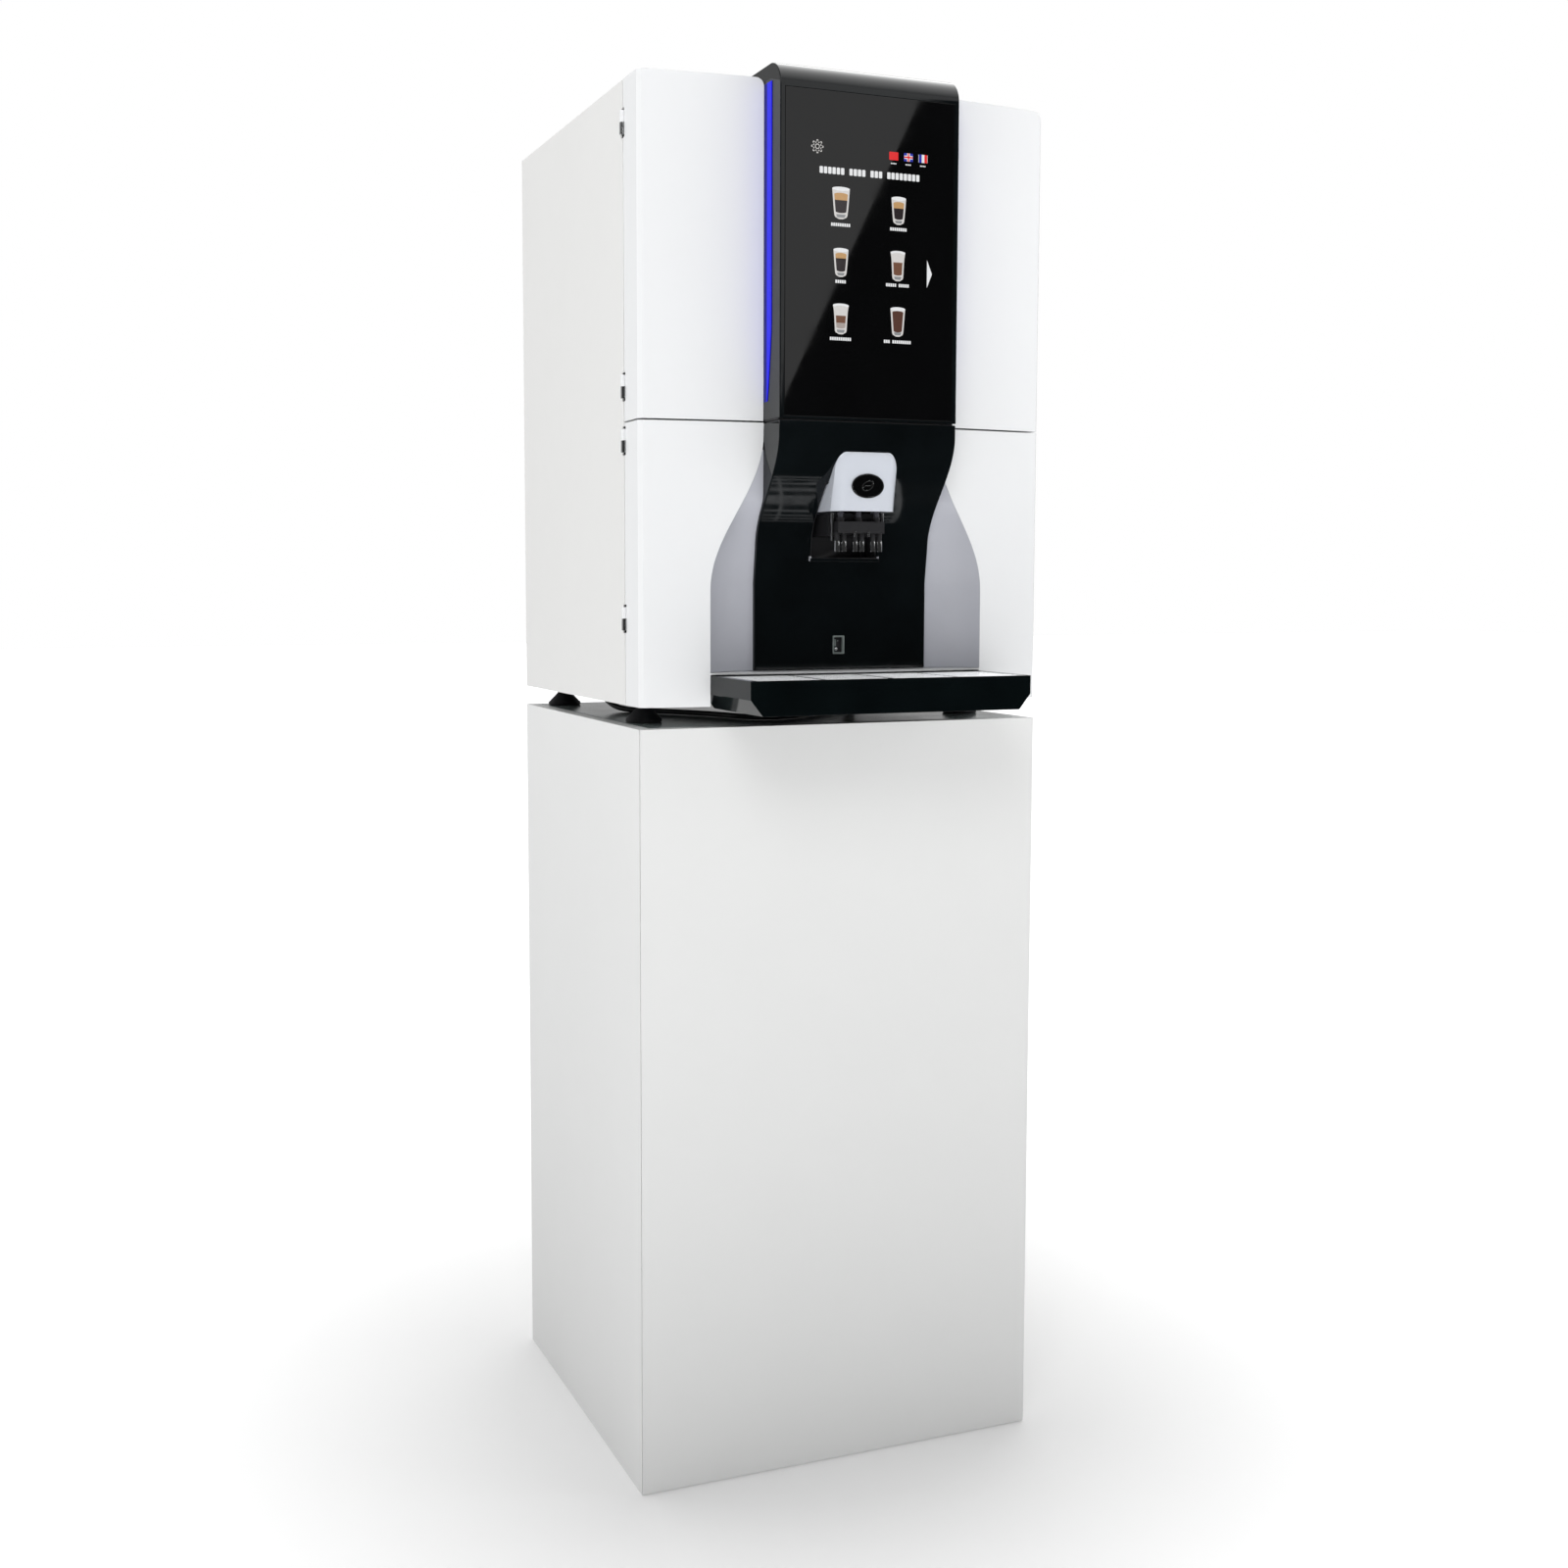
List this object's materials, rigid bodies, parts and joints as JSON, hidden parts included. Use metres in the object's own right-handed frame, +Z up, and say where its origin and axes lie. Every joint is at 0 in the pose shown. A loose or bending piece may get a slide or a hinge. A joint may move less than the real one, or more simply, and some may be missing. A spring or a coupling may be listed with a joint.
{
  "type": "hot drinks vending machine",
  "caption": "Bean-to-cup hot drinks vending machine with a touch screen, dispensing head and drip tray, standing on a tall base cabinet.",
  "frame": {"origin": "centre of the base cabinet's footprint, on the floor", "axes": "+Z up, front towards -Y, +X towards the side that the doors open from"},
  "size_m": [0.546, 0.6385, 1.727],
  "materials": {
    "white_board": "semi-gloss lacquered board",
    "white_steel": "fine powder coat",
    "bare_steel": "galvanised sheet",
    "white_moulding": "smooth lacquered moulding",
    "gloss_black": "piano black",
    "dark_glass": "black glass",
    "silver_moulding": "satin silver",
    "tray_steel": "polished slats",
    "black_moulding": "fine texture",
    "clear_canister": "translucent polycarbonate",
    "smoked_canister": "smoked polycarbonate",
    "white_internal": "natural plastic and silicone",
    "steel_parts": "machined",
    "motor_black": "painted castings",
    "board_green": "printed circuit board",
    "foot_rubber": "moulded rubber on a steel stud",
    "cord_rubber": "black PVC"
  },
  "bodies": {
    "cabinet": {"base_left_side": "white_board", "base_right_side": "white_board", "base_back": "white_board", "base_top": "white_board", "base_floor": "white_board", "base_shelf": "white_board", "chassis_floor": "bare_steel", "left_side_panel": "white_steel", "right_side_panel": "white_steel", "roof_panel": "white_steel", "back_panel": "bare_steel", "equipment_shelf": "bare_steel", "hinge_brackets": "bare_steel", "milk_canister": "clear_canister", "chocolate_canister": "clear_canister", "mixer_motors": "motor_black", "mixing_bowls": "black_moulding", "bean_hopper": "smoked_canister", "grinder_body": "black_moulding", "brew_chamber": "motor_black", "grounds_bin": "black_moulding", "boiler": "steel_parts", "water_pump": "motor_black", "power_supply": "bare_steel", "outlet_hoses": "white_internal", "fan_frame": "black_moulding", "cord_gland": "cord_rubber", "mains_cord": "cord_rubber", "mains_coil": "cord_rubber", "mains_plug": "cord_rubber"},
    "cabinet_door": {"base_door": "white_board"},
    "upper_door": {"upper_door_shell": "white_moulding", "upper_door_liner": "bare_steel", "screen_housing": "gloss_black", "touch_glass": "dark_glass", "control_board": "board_green"},
    "lock": {"door_lock": "steel_parts"},
    "lower_door": {"lower_door_shell": "white_moulding", "lower_door_liner": "bare_steel", "dispense_panel": "gloss_black", "door_coves": "silver_moulding", "head_cover": "silver_moulding", "nozzle_block": "black_moulding"},
    "tray": {"drip_tray": "gloss_black"},
    "grille": {"drip_grille": "tray_steel"},
    "milk_lid": {"milk_lid": "black_moulding"},
    "chocolate_lid": {"chocolate_lid": "black_moulding"},
    "hopper_lid": {"hopper_lid": "black_moulding"},
    "milk_auger": {"milk_auger": "white_internal"},
    "chocolate_auger": {"chocolate_auger": "white_internal"},
    "milk_whipper": {"milk_whipper": "white_internal"},
    "chocolate_whipper": {"chocolate_whipper": "white_internal"},
    "burr": {"grinder_burr": "steel_parts"},
    "rotor": {"fan_rotor": "black_moulding"},
    "piston": {"brew_piston": "steel_parts"},
    "switch": {"power_switch": "black_moulding"},
    "foot_front_left": {"foot_front_left": "foot_rubber"},
    "foot_front_right": {"foot_front_right": "foot_rubber"},
    "foot_back_left": {"foot_back_left": "foot_rubber"},
    "foot_back_right": {"foot_back_right": "foot_rubber"}
  },
  "joints": [
    {"name": "cabinet_door_hinge", "type": "hinge", "parent": "cabinet", "child": "cabinet_door", "pos_m": [-0.27, -0.249, 0.5], "axis": [0, 0, -1], "range_deg": [0, 105]},
    {"name": "upper_door_hinge", "type": "hinge", "parent": "cabinet", "child": "upper_door", "pos_m": [-0.27, -0.1965, 1.515], "axis": [0, 0, -1], "range_deg": [0, 105]},
    {"name": "lower_door_hinge", "type": "hinge", "parent": "cabinet", "child": "lower_door", "pos_m": [-0.27, -0.1965, 1.145], "axis": [0, 0, -1], "range_deg": [0, 105]},
    {"name": "door_lock_turn", "type": "hinge", "parent": "upper_door", "child": "lock", "pos_m": [0.27, -0.22, 1.395], "axis": [-1, 0, 0], "range_deg": [0, 90]},
    {"name": "drip_tray_slide", "type": "slide", "parent": "lower_door", "child": "tray", "axis": [0, -1, 0], "range_m": [0, 0.15]},
    {"name": "drip_grille_lift", "type": "slide", "parent": "tray", "child": "grille", "axis": [0, 0, 1], "range_m": [0, 0.05]},
    {"name": "milk_lid_hinge", "type": "hinge", "parent": "cabinet", "child": "milk_lid", "pos_m": [0, -0.016, 1.538], "axis": [-1, 0, 0], "range_deg": [0, 80]},
    {"name": "chocolate_lid_hinge", "type": "hinge", "parent": "cabinet", "child": "chocolate_lid", "pos_m": [0.17, -0.016, 1.538], "axis": [-1, 0, 0], "range_deg": [0, 80]},
    {"name": "hopper_lid_hinge", "type": "hinge", "parent": "cabinet", "child": "hopper_lid", "pos_m": [-0.18, -0.016, 1.538], "axis": [-1, 0, 0], "range_deg": [0, 80]},
    {"name": "milk_auger_spin", "type": "hinge", "parent": "cabinet", "child": "milk_auger", "pos_m": [0, -0.1, 1.333], "axis": [0, 1, 0], "continuous": true},
    {"name": "chocolate_auger_spin", "type": "hinge", "parent": "cabinet", "child": "chocolate_auger", "pos_m": [0.17, -0.1, 1.333], "axis": [0, 1, 0], "continuous": true},
    {"name": "milk_whipper_spin", "type": "hinge", "parent": "cabinet", "child": "milk_whipper", "pos_m": [0, -0.1, 1.211], "axis": [0, 1, 0], "continuous": true},
    {"name": "chocolate_whipper_spin", "type": "hinge", "parent": "cabinet", "child": "chocolate_whipper", "pos_m": [0.17, -0.1, 1.211], "axis": [0, 1, 0], "continuous": true},
    {"name": "grinder_burr_spin", "type": "hinge", "parent": "cabinet", "child": "burr", "pos_m": [-0.18, -0.085, 1.39], "axis": [0, 0, 1], "continuous": true},
    {"name": "fan_spin", "type": "hinge", "parent": "cabinet", "child": "rotor", "pos_m": [0.15, 0.23, 1.615], "axis": [0, 1, 0], "continuous": true},
    {"name": "brew_piston_slide", "type": "slide", "parent": "cabinet", "child": "piston", "axis": [0, 0, 1], "range_m": [0, 0.05]},
    {"name": "power_switch_rock", "type": "hinge", "parent": "cabinet", "child": "switch", "pos_m": [-0.205, 0.248, 1.032], "axis": [1, 0, 0], "range_deg": [0, 10]},
    {"name": "foot_front_left_turn", "type": "hinge", "parent": "cabinet", "child": "foot_front_left", "pos_m": [-0.225, -0.135, 0.962], "axis": [0, 0, 1], "continuous": true},
    {"name": "foot_front_right_turn", "type": "hinge", "parent": "cabinet", "child": "foot_front_right", "pos_m": [0.225, -0.135, 0.962], "axis": [0, 0, 1], "continuous": true},
    {"name": "foot_back_left_turn", "type": "hinge", "parent": "cabinet", "child": "foot_back_left", "pos_m": [-0.225, 0.21, 0.962], "axis": [0, 0, 1], "continuous": true},
    {"name": "foot_back_right_turn", "type": "hinge", "parent": "cabinet", "child": "foot_back_right", "pos_m": [0.225, 0.21, 0.962], "axis": [0, 0, 1], "continuous": true}
  ]
}
